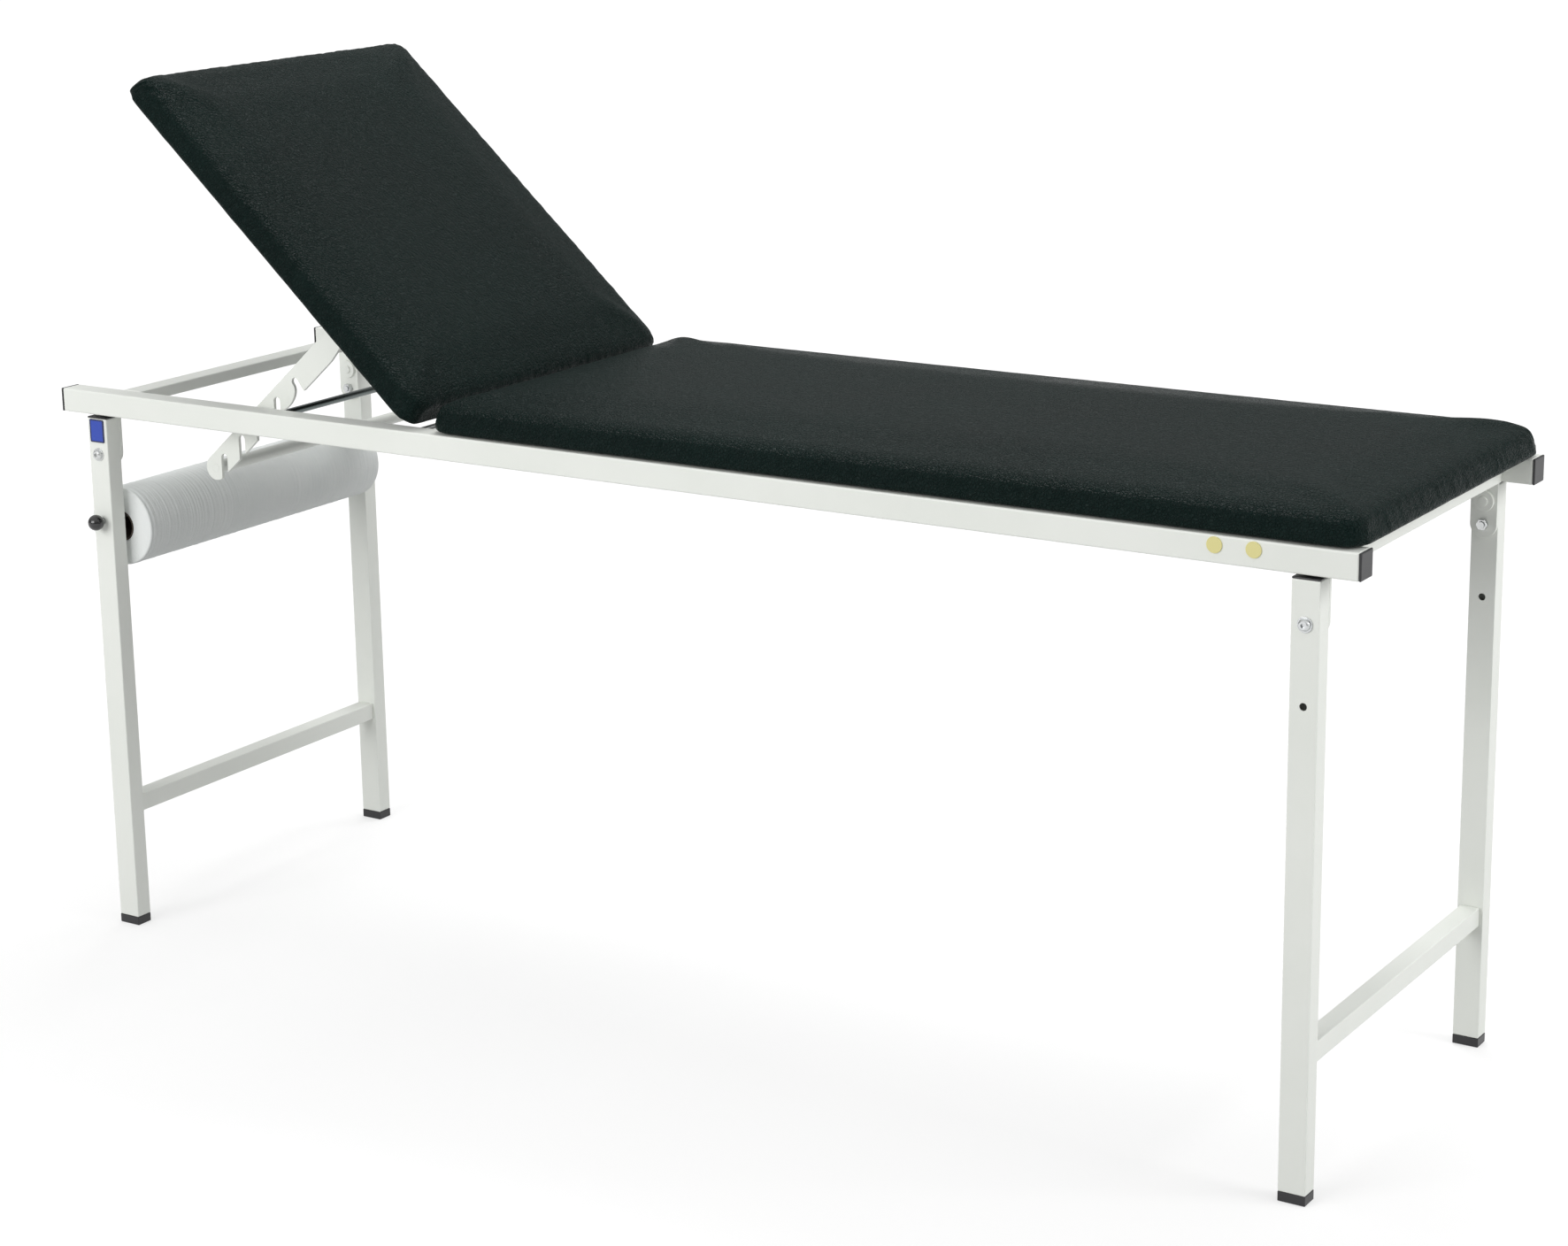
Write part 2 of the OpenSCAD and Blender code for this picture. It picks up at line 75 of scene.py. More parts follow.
ahead = Vector((
    -math.sin(CAMERA_TURN) * math.cos(CAMERA_DIP),
    math.cos(CAMERA_TURN) * math.cos(CAMERA_DIP),
    -math.sin(CAMERA_DIP),
))
level = ahead.cross(Vector((0, 0, 1))).normalized()
above = level.cross(ahead)
right = level * math.cos(CAMERA_ROLL) + above * math.sin(CAMERA_ROLL)
up = above * math.cos(CAMERA_ROLL) - level * math.sin(CAMERA_ROLL)

camera = bpy.data.objects.new("camera", bpy.data.cameras.new("camera"))
camera.data.sensor_width = SENSOR
camera.data.lens = LENS
camera.data.shift_y = FRAMING_SHIFT
camera.matrix_world = Matrix((right, up, -ahead)).transposed().to_4x4()
camera.location = CAMERA_PLACE
bpy.context.scene.collection.objects.link(camera)
bpy.context.scene.camera = camera
print("camera at", tuple(round(c, 3) for c in camera.location))

# %% [markdown]
# ## Small tools for node trees
# Shader and geometry trees are built the same way: add a node, set its fields, join its
# sockets. Two short helpers keep the finishes below readable.

# %% Helpers for trees
def add(tree, kind, links=None, values=None, **fields):
    """Adds a node, sets its fields and plain socket values, and links what feeds it."""
    made = tree.nodes.new(kind)
    for name, value in fields.items():
        setattr(made, name, value)
    for name, value in (values or {}).items():
        made.inputs[name].default_value = value
    for name, source in (links or {}).items():
        tree.links.new(source, made.inputs[name])
    return made


def new_group(name, tree_kind, inputs, outputs):
    """An empty node group with named sockets. Returns the tree, its input and its output."""
    tree = bpy.data.node_groups.new(name, tree_kind)
    for label, kind, default in inputs:
        socket = tree.interface.new_socket(label, in_out="INPUT", socket_type=kind)
        if default is not None:
            socket.default_value = default
    for label, kind in outputs:
        tree.interface.new_socket(label, in_out="OUTPUT", socket_type=kind)
    return tree, tree.nodes.new("NodeGroupInput"), tree.nodes.new("NodeGroupOutput")


def math_node(tree, operation, first, second=None):
    """One step of arithmetic. Each operand is a socket or a plain number."""
    made = tree.nodes.new("ShaderNodeMath")
    made.operation = operation
    for slot, operand in enumerate((first, second)):
        if operand is None:
            continue
        if isinstance(operand, (int, float)):
            made.inputs[slot].default_value = operand
        else:
            tree.links.new(operand, made.inputs[slot])
    return made.outputs[0]


print("tree helpers ready")

# %% [markdown]
# ## Shared surface effects
# Each effect is a shader group: a mottle that varies colour and roughness a little, a fine
# orange peel, both used by many finishes, and the vinyl's pebbled grain. They put out colours,
# roughness and heights; the shaders stay in the materials.

# %% Group: mottle
FLOAT = "NodeSocketFloat"
COLOUR = "NodeSocketColor"
VECTOR = "NodeSocketVector"
SHADER_TREE = "ShaderNodeTree"


def make_mottle():
    """Slow noise that blends two colours, and two roughness values."""
    tree, inside, outside = new_group("mottle", SHADER_TREE, [
        ("Coordinates", VECTOR, None), ("Scale", FLOAT, 6.0),
        ("Colour A", COLOUR, None), ("Colour B", COLOUR, None),
        ("Rough A", FLOAT, 0.4), ("Rough B", FLOAT, 0.5),
    ], [("Colour", COLOUR), ("Roughness", FLOAT)])
    cloud = add(tree, "ShaderNodeTexNoise", {
        "Vector": inside.outputs["Coordinates"], "Scale": inside.outputs["Scale"],
    }, {"Detail": 6.0, "Roughness": 0.6})
    spread = add(tree, "ShaderNodeMapRange", {"Value": cloud.outputs["Fac"]},
                 {"From Min": 0.3, "From Max": 0.7})
    blend = add(tree, "ShaderNodeMix", data_type="RGBA")
    tree.links.new(spread.outputs["Result"], blend.inputs["Factor"])
    tree.links.new(inside.outputs["Colour A"], blend.inputs[6])
    tree.links.new(inside.outputs["Colour B"], blend.inputs[7])
    rough = add(tree, "ShaderNodeMapRange", {
        "Value": cloud.outputs["Fac"],
        "To Min": inside.outputs["Rough A"], "To Max": inside.outputs["Rough B"],
    }, {"From Min": 0.3, "From Max": 0.7})
    tree.links.new(blend.outputs[2], outside.inputs["Colour"])
    tree.links.new(rough.outputs["Result"], outside.inputs["Roughness"])
    return tree


mottle = make_mottle()
print("mottle sockets:", len(mottle.interface.items_tree))

# %% Group: leather grain
GRAIN_WARP = 0.006
CREASE_WIDTH = 0.22
PEBBLE_SHARE = 0.5


def make_grain():
    """Pebbles between creases, stretched along the cloth, with broader wrinkles below them."""
    tree, inside, outside = new_group("grain", SHADER_TREE, [
        ("Coordinates", VECTOR, None), ("Pebbles", FLOAT, 420.0),
        ("Wrinkles", FLOAT, 45.0), ("Wrinkle Depth", FLOAT, 0.8),
    ], [("Height", FLOAT)])
    warp = add(tree, "ShaderNodeTexNoise", {"Vector": inside.outputs["Coordinates"]},
               {"Scale": 90.0, "Detail": 3.0})
    push = add(tree, "ShaderNodeVectorMath", {0: warp.outputs["Color"]}, {1: (GRAIN_WARP,) * 3},
               operation="MULTIPLY")
    bent = add(tree, "ShaderNodeVectorMath", {
        0: inside.outputs["Coordinates"], 1: push.outputs[0]}, operation="ADD")
    cells = add(tree, "ShaderNodeTexVoronoi", {
        "Vector": bent.outputs[0], "Scale": inside.outputs["Pebbles"],
    }, feature="DISTANCE_TO_EDGE")
    pebble = add(tree, "ShaderNodeMapRange", {"Value": cells.outputs["Distance"]},
                 {"From Max": CREASE_WIDTH}, interpolation_type="SMOOTHSTEP")
    folds = add(tree, "ShaderNodeTexNoise", {
        "Vector": bent.outputs[0], "Scale": inside.outputs["Wrinkles"],
    }, {"Detail": 5.0, "Roughness": 0.65, "Distortion": 1.2})
    deep = math_node(tree, "MULTIPLY", folds.outputs["Fac"], inside.outputs["Wrinkle Depth"])
    shallow = math_node(tree, "MULTIPLY", pebble.outputs["Result"], PEBBLE_SHARE)
    height = math_node(tree, "ADD", shallow, deep)
    tree.links.new(height, outside.inputs["Height"])
    return tree


grain = make_grain()
print("grain sockets:", len(grain.interface.items_tree))

# %% Group: orange peel
def make_peel():
    """The faint, even ripple that a baked powder coat or a moulding keeps."""
    tree, inside, outside = new_group("peel", SHADER_TREE, [
        ("Coordinates", VECTOR, None), ("Scale", FLOAT, 500.0),
    ], [("Height", FLOAT)])
    fine = add(tree, "ShaderNodeTexNoise", {
        "Vector": inside.outputs["Coordinates"], "Scale": inside.outputs["Scale"],
    }, {"Detail": 2.0, "Roughness": 0.4})
    tree.links.new(fine.outputs["Fac"], outside.inputs["Height"])
    return tree


peel = make_peel()
print("peel sockets:", len(peel.interface.items_tree))

# %% [markdown]
# ## The finishes
# Each finish is one Principled shader fed by those groups. What is the same all over a
# surface, such as its metallic or specular level, is set on the shader itself.

# %% A finish from the shared groups
def group_node(tree, group, coordinates, **values):
    made = tree.nodes.new("ShaderNodeGroup")
    made.node_tree = group
    tree.links.new(coordinates, made.inputs["Coordinates"])
    for name, value in values.items():
        made.inputs[name.replace("_", " ")].default_value = value
    return made


def new_finish(name, colours, rough, mottle_scale=6.0, **shader_values):
    """A material whose colour and roughness vary. Returns it with its tree's main parts."""
    material = bpy.data.materials.new(name)
    material.use_nodes = True
    tree = material.node_tree
    shader = tree.nodes["Principled BSDF"]
    place = add(tree, "ShaderNodeTexCoord").outputs["Object"]
    cloud = group_node(tree, mottle, place, Scale=mottle_scale,
                       Colour_A=(*colours[0], 1), Colour_B=(*colours[1], 1),
                       Rough_A=rough[0], Rough_B=rough[1])
    tree.links.new(cloud.outputs["Colour"], shader.inputs["Base Color"])
    tree.links.new(cloud.outputs["Roughness"], shader.inputs["Roughness"])
    for label, value in shader_values.items():
        shader.inputs[label.replace("_", " ")].default_value = value
    return material, tree, shader, place


def bump(tree, shader, height, depth, strength=1.0):
    """Feeds a height to the shader's normal. The depth is in metres."""
    made = add(tree, "ShaderNodeBump", {"Height": height},
               {"Strength": strength, "Distance": depth})
    tree.links.new(made.outputs["Normal"], shader.inputs["Normal"])


print("finish helpers ready")

# %% Vinyl
def make_vinyl():
    material, tree, shader, place = new_finish(
        "black_vinyl", ((0.0030, 0.0105, 0.0090), (0.0050, 0.0150, 0.0130)), (0.26, 0.36), 4.0,
        Specular_IOR_Level=0.07)
    leather = group_node(tree, grain, place, Pebbles=240.0, Wrinkles=95.0, Wrinkle_Depth=1.3)
    bump(tree, shader, leather.outputs["Height"], 0.0030, 1.0)
    return material


vinyl = make_vinyl()
print("made", vinyl.name)

# %% Powder coat, plastics and metal
def make_moulded(name, colours, rough, depth, scale=500.0, **shader_values):
    """A finish with only orange peel over its mottle."""
    material, tree, shader, place = new_finish(name, colours, rough, 5.0, **shader_values)
    skin = group_node(tree, peel, place, Scale=scale)
    bump(tree, shader, skin.outputs["Height"], depth, 0.5)
    return material


powder_coat = make_moulded(
    "white_powder_coat", ((0.80, 0.825, 0.775), (0.845, 0.865, 0.82)), (0.30, 0.42), 0.00012)
black_plastic = make_moulded(
    "black_plastic", ((0.012, 0.012, 0.014), (0.022, 0.022, 0.024)), (0.32, 0.45), 0.0001)
knob_plastic = make_moulded(
    "knob_plastic", ((0.010, 0.010, 0.011), (0.014, 0.014, 0.015)), (0.10, 0.18), 0.00003,
    Coat_Weight=0.4)
yellow_plastic = make_moulded(
    "yellow_plug", ((0.72, 0.66, 0.27), (0.78, 0.72, 0.33)), (0.35, 0.5), 0.0001)
label_blue = make_moulded(
    "blue_label", ((0.012, 0.045, 0.36), (0.018, 0.065, 0.46)), (0.2, 0.3), 0.00003)
label_rim = make_moulded(
    "label_rim", ((0.006, 0.012, 0.07), (0.010, 0.018, 0.10)), (0.2, 0.3), 0.00003)
zinc = make_moulded(
    "zinc", ((0.50, 0.52, 0.54), (0.66, 0.67, 0.66)), (0.22, 0.40), 0.00008, 900.0,
    Metallic=1.0)
# The ratchet rod is zinc-plated like the bolts. This darker copy of zinc is painted shade and a
# painted reflection: it stands for the backrest's shadow on the rod and the black pad that the rod
# mirrors.
zinc_rod_painted_shade = make_moulded(
    "zinc_rod_painted_shade", ((0.10, 0.12, 0.12), (0.17, 0.19, 0.18)), (0.25, 0.40), 0.00008, 900.0,
    Metallic=1.0)
print("moulded finishes made")

# %% Plywood, card and paper
def make_plywood():
    material, tree, shader, place = new_finish(
        "plywood", ((0.42, 0.27, 0.13), (0.55, 0.38, 0.20)), (0.55, 0.75), 9.0)
    stretch = add(tree, "ShaderNodeMapping", {"Vector": place}, {"Scale": (6, 90, 90)})
    fibres = add(tree, "ShaderNodeTexNoise", {"Vector": stretch.outputs[0]},
                 {"Scale": 1.5, "Detail": 8.0, "Roughness": 0.7})
    bump(tree, shader, fibres.outputs["Fac"], 0.0004)
    return material


def make_paper(axis_point):
    """White crepe. Its wound layers show as fine rings on the two ends."""
    material, tree, shader, place = new_finish(
        "paper", ((0.80, 0.83, 0.82), (0.86, 0.88, 0.87)), (0.75, 0.9), 12.0,
        Specular_IOR_Level=0.2)
    centred = add(tree, "ShaderNodeMapping", {"Vector": place},
                  {"Location": tuple(-c for c in axis_point)})
    layers = add(tree, "ShaderNodeTexWave", {"Vector": centred.outputs[0]},
                 {"Scale": 180.0, "Distortion": 1.5, "Detail": 2.0, "Detail Scale": 4.0},
                 wave_type="RINGS", rings_direction="Y")
    creases = add(tree, "ShaderNodeTexNoise", {"Vector": place}, {"Scale": 260.0, "Detail": 4.0})
    both = math_node(tree, "ADD", math_node(tree, "MULTIPLY", layers.outputs["Fac"], 0.5),
                     creases.outputs["Fac"])
    bump(tree, shader, both, 0.0005, 0.7)
    return material


roll_axis = Vector(joints["roll_spin"]["pos_m"])
plywood = make_plywood()
card = make_moulded("cardboard", ((0.045, 0.032, 0.024), (0.07, 0.05, 0.036)), (0.7, 0.9), 0.0003)
paper = make_paper(roll_axis)
print("roll axis at", tuple(roll_axis))

# %% [markdown]
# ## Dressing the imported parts
# Tubes and caps have true shapes already. Real tube has rounded corners, though, and a
# razor edge catches no light, so a live Weld and Bevel soften them and leave the mesh as it
# was.

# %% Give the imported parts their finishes
FINISHES = {
    "white_powder_coat": powder_coat, "black_plastic": black_plastic, "black_vinyl": vinyl,
    "zinc": zinc, "plywood": plywood, "paper": paper, "cardboard": card,
    "yellow_plug": yellow_plastic, "blue_label": label_blue,
}
# The ratchet rod takes the darker zinc copy, whose dark colour is painted shade and a painted
# reflection of the pad.
OWN_FINISH = {"spindle_knob": knob_plastic, "ratchet_rod": zinc_rod_painted_shade}

for part in frame["record"]["subparts"]:
    piece = nodes[part["node"]]
    piece.data.materials.clear()
    piece.data.materials.append(OWN_FINISH.get(part["node"], FINISHES[part["material_slot"]]))

# %% Soften their edges
TUBES = ("rail_near", "rail_far", "head_crossbar", "middle_crossbar", "foot_crossbar",
         "leg_crossbar", "leg_head", "leg_foot")
TUBE_CORNER = 2.4
OTHER_EDGES = {
    "rail_cap": 1.6, "foot_plugs": 2.0, "leg_top_plugs": 0.6, "leg_lug": 0.5,
    "prop_near": 0.6, "prop_far": 0.6, "hinge_brackets": 0.5, "prop_lugs": 0.5,
    "rail_plugs": 0.5, "leg_washers": 0.3, "leg_nuts": 0.6,
}
ON_CORNER = 0.05 * MM
WELD_DISTANCE = 0.01 * MM
FLAT_WITHIN = math.radians(0.5)
SHARP_FROM = math.radians(40)
BEVEL_SEGMENTS = 3


def corner_group(piece):
    """A vertex group of the points on the long outer corners of a tube, and so of no hole."""
    low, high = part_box(piece.name)
    long_axis = max(range(3), key=lambda i: high[i] - low[i])
    across = [i for i in range(3) if i != long_axis]
    group = piece.vertex_groups.new(name="corners")
    members = [v.index for v in piece.data.vertices
               if all(min(v.co[i] - low[i], high[i] - v.co[i]) < ON_CORNER for i in across)]
    group.add(members, 1.0, "REPLACE")
    return group.name


def soften(piece, radius, tube):
    weld = piece.modifiers.new("weld", "WELD")
    weld.merge_threshold = WELD_DISTANCE
    flat = piece.modifiers.new("join flat faces", "DECIMATE")
    flat.decimate_type = "DISSOLVE"
    flat.angle_limit = FLAT_WITHIN
    bevel = piece.modifiers.new("bevel", "BEVEL")
    bevel.width = radius * MM
    bevel.segments = BEVEL_SEGMENTS
    if tube:
        bevel.limit_method = "VGROUP"
        bevel.vertex_group = corner_group(piece)
    else:
        bevel.limit_method = "ANGLE"
        bevel.angle_limit = SHARP_FROM


for name, piece in nodes.items():
    if name.startswith(TUBES):
        soften(piece, TUBE_CORNER, True)
    for start, radius in OTHER_EDGES.items():
        if name.startswith(start):
            soften(piece, radius, False)
print("parts with soft edges:", sum(bool(piece.modifiers) for piece in nodes.values()))

# %% [markdown]
# ## The pads
# Each pad is a board, a slab of foam and one sheet of vinyl that is pulled over both and
# stapled underneath. The start is a smooth shell: a flat underside, a low upright band where
# the board is, and foam that rolls over into the crown. Cloth with air pressure then swells
# and settles it, pinned below, as foam does behind stretched vinyl. The small puckers by the
# staples are finer than the cloth's grid, so they come last, from noise.

# %% Where the pads lie
tilt = joints["backrest_tilt"]
hinge = Vector(tilt["pos_m"])
stand_angle = -math.radians(tilt["range_deg"][0])
stand_up = (Matrix.Translation(hinge) @ Matrix.Rotation(stand_angle, 4, "Y")
            @ Matrix.Translation(-hinge))
identity = Matrix.Identity(4)


def flat_box(node_names, placed):
    """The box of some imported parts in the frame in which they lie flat."""
    back = placed.inverted()
    points = [back @ v.co for name in node_names for v in nodes[name].data.vertices]
    return (Vector(min(p[i] for p in points) for i in range(3)),
            Vector(max(p[i] for p in points) for i in range(3)))


seat_box = flat_box(("seat_board", "seat_pad"), identity)
back_box = flat_box(("backrest_board", "backrest_pad"), stand_up)
print("seat", [round(c, 3) for c in (*seat_box[0], *seat_box[1])])
print("backrest", [round(c, 3) for c in (*back_box[0], *back_box[1])])

# %% The shell
UNDERSIDE_GAP = 0.4 * MM
CORNER = 26 * MM
CORNER_TIGHTENS = 0.6
SMALLEST_CORNER = 8 * MM
AROUND_CORNER = 10
ALONG_SIDE = 40

# How far in from the edge the vinyl is at each height above the underside
SIDE_PROFILE = [
    (6.0, 0.0), (1.6, 0.0), (0.3, 1.6), (0.0, 5.0), (0.4, 9.5), (1.9, 13.0), (2.2, 15.5),
    (1.2, 19.0), (0.8, 23.0), (2.0, 28.0), (5.0, 33.0), (10.0, 37.5), (18.0, 41.0),
    (32.0, 43.5), (55.0, 45.3), (90.0, 46.4), (140.0, 47.0),
]


def outline(low, high, inset):
    """Points round a rectangle whose corners are round, the same number at any inset."""
    radius = max(CORNER - CORNER_TIGHTENS * inset, SMALLEST_CORNER)
    centres = [(high.x - inset - radius, high.y - inset - radius, 0),
               (low.x + inset + radius, high.y - inset - radius, 90),
               (low.x + inset + radius, low.y + inset + radius, 180),
               (high.x - inset - radius, low.y + inset + radius, 270)]
    points = []
    for index, (x, y, turn) in enumerate(centres):
        for step in range(AROUND_CORNER + 1):
            angle = math.radians(turn + 90 * step / AROUND_CORNER)
            points.append(Vector((x + radius * math.cos(angle), y + radius * math.sin(angle))))
        after = centres[(index + 1) % 4]
        angle = math.radians(turn + 90)
        reach = Vector((radius * math.cos(angle), radius * math.sin(angle)))
        start = Vector((x, y)) + reach
        end = Vector(after[:2]) + reach
        points += [start.lerp(end, step / ALONG_SIDE) for step in range(1, ALONG_SIDE)]
    return points


def pad_shell(name, low, high):
    """A closed shell over a flat box: rings up the side profile, a floor and a lid."""
    mesh = bmesh.new()
    rings = []
    for inset, height in SIDE_PROFILE:
        ring = [mesh.verts.new((p.x, p.y, low.z + UNDERSIDE_GAP + height * MM))
                for p in outline(low, high, inset * MM)]
        rings.append(ring)
    count = len(rings[0])
    for lower, upper in zip(rings, rings[1:]):
        for i in range(count):
            j = (i + 1) % count
            mesh.faces.new((lower[i], lower[j], upper[j], upper[i]))
    mesh.faces.new(list(reversed(rings[0])))
    mesh.faces.new(rings[-1])
    made = bpy.data.meshes.new(name)
    mesh.to_mesh(made)
    mesh.free()
    shell = bpy.data.objects.new(name, made)
    bpy.context.scene.collection.objects.link(shell)
    return shell


print("profile rings:", len(SIDE_PROFILE))

# %% Swell it with cloth
VOXEL = 7.5 * MM
SWELL_CAP = 7 * MM
SWELL_SHARE = 0.6
PRESSURE = 4.0
PINNED_BELOW = 12 * MM
CLOTH_QUALITY = 5
STRETCH_STIFFNESS = 25
BEND_STIFFNESS = 2.0
SMOOTHING = 0.5
SMOOTH_STEPS = 4
FRAMES = 20
TINY = 1e-9


def apply_modifiers(piece):
    """Turns the piece's evaluated shape into its plain mesh."""
    graph = bpy.context.evaluated_depsgraph_get()
    result = bpy.data.meshes.new_from_object(piece.evaluated_get(graph))
    piece.modifiers.clear()
    piece.data = result


def positions(piece):
    flat = np.empty(len(piece.data.vertices) * 3)
    piece.data.vertices.foreach_get("co", flat)
    return flat.reshape(-1, 3)


def set_positions(piece, points):
    piece.data.vertices.foreach_set("co", np.asarray(points, float).ravel())
    piece.data.update()


def swell(piece, floor):
    """Runs pressurised cloth on the piece, pinned near its underside, with a cap on the move."""
    remesh = piece.modifiers.new("remesh", "REMESH")
    remesh.mode = "VOXEL"
    remesh.voxel_size = VOXEL
    apply_modifiers(piece)
    start = positions(piece)
    pins = piece.vertex_groups.new(name="pins")
    low_ones = np.nonzero(start[:, 2] < floor + PINNED_BELOW)[0]
    pins.add([int(i) for i in low_ones], 1.0, "REPLACE")
    cloth = piece.modifiers.new("cloth", "CLOTH")
    cloth.settings.use_pressure = True
    cloth.settings.uniform_pressure_force = PRESSURE
    cloth.settings.effector_weights.gravity = 0
    cloth.settings.vertex_group_mass = "pins"
    cloth.settings.quality = CLOTH_QUALITY
    cloth.settings.tension_stiffness = STRETCH_STIFFNESS
    cloth.settings.bending_stiffness = BEND_STIFFNESS
    cloth.collision_settings.use_collision = False
    scene = bpy.context.scene
    for number in range(1, FRAMES + 1):
        scene.frame_set(number)
    apply_modifiers(piece)
    scene.frame_set(1)
    moved = positions(piece) - start
    length = np.linalg.norm(moved, axis=1, keepdims=True)
    moved *= SWELL_SHARE * np.minimum(1, SWELL_CAP / np.maximum(length, TINY))
    set_positions(piece, start + moved)
    smooth = piece.modifiers.new("smooth", "SMOOTH")
    smooth.factor = SMOOTHING
    smooth.iterations = SMOOTH_STEPS
    split = piece.modifiers.new("subdivide", "SUBSURF")
    split.levels = 1
    split.render_levels = 1
    apply_modifiers(piece)


print("cloth steps:", FRAMES)

# %% Puckers and corner folds
PUCKER_DEPTH = 1.3 * MM
FOLD_DEPTH = 3.0 * MM
PUCKER_PITCH = 9 * MM
FOLD_COUNT = 26
EDGE_REACH = 70 * MM
CORNER_REACH = 75 * MM
BAND_HEIGHT = 26 * MM
BAND_SPREAD = 16 * MM
CREASE_RISE = 40 * MM
CREASE_DEPTH = 30 * MM
FOLD_CENTRE = 6 * MM
TURNS_UP_ABOVE = 30 * MM


def pucker(piece, low, high):
    """Short creases that run up the sides, and deeper folds that fan out at the corners."""
    points = positions(piece)
    middle = (low + high) / 2
    half = (high - low) / 2
    for index, p in enumerate(points):
        across = (p[0] - middle.x, p[1] - middle.y)
        from_end = half.x - abs(across[0])
        from_side = half.y - abs(across[1])
        edge = min(from_end, from_side)
        if edge > EDGE_REACH:
            continue
        height = p[2] - low.z
        along = p[0] if from_side < from_end else p[1] + 3
        near_edge = max(0, 1 - edge / EDGE_REACH) ** 2
        band = math.exp(-((height - BAND_HEIGHT) / BAND_SPREAD) ** 2)
        sample = Vector((along / PUCKER_PITCH, height / CREASE_RISE, edge / CREASE_DEPTH))
        push = PUCKER_DEPTH * noise.noise(sample) * near_edge * band
        push += 0.6 * PUCKER_DEPTH * noise.noise(sample * 0.3) * near_edge
        corner = math.hypot(from_end, from_side)
        if corner < CORNER_REACH:
            turn = math.atan2(from_side + FOLD_CENTRE, from_end + FOLD_CENTRE)
            folds = math.sin(turn * FOLD_COUNT + 3 * noise.noise(sample * 0.2))
            push += FOLD_DEPTH * 0.5 * folds * (1 - corner / CORNER_REACH) ** 1.5 * band
        outward = Vector((across[0] if from_end <= from_side else 0,
                          across[1] if from_side < from_end else 0, 0))
        outward = outward.normalized() + Vector((0, 0, 0.6 if height > TURNS_UP_ABOVE else 0))
        points[index] += np.array(outward.normalized()) * push
    set_positions(piece, points)


def make_pad(name, box, placed, body, replaced):
    low, high = box
    pad = pad_shell(name, low, high)
    swell(pad, low.z)
    pucker(pad, low, high)
    pad.data.materials.clear()
    pad.data.materials.append(vinyl)
    pad.data.transform(placed)
    for face in pad.data.polygons:
        face.use_smooth = True
    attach(pad, body)
    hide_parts(*replaced)
    print(name, "has", len(pad.data.polygons), "faces")


make_pad("seat_upholstery", seat_box, identity, "frame", ("seat_pad", "seat_board"))
make_pad("backrest_upholstery", back_box, stand_up, "backrest",
         ("backrest_pad", "backrest_board"))

# %% [markdown]
# ## Bolts and screws
# Every fastener is the same idea: a round, slightly domed head with a hexagonal socket, on a
# shank. A Geometry Nodes tree makes one and puts a copy on each point, turned to the point's
# own direction. The same tree, with other sizes, makes the leg bolts and the wood screws.

# %% The fastener tree
GEOMETRY = "NodeSocketGeometry"
GEOMETRY_TREE = "GeometryNodeTree"


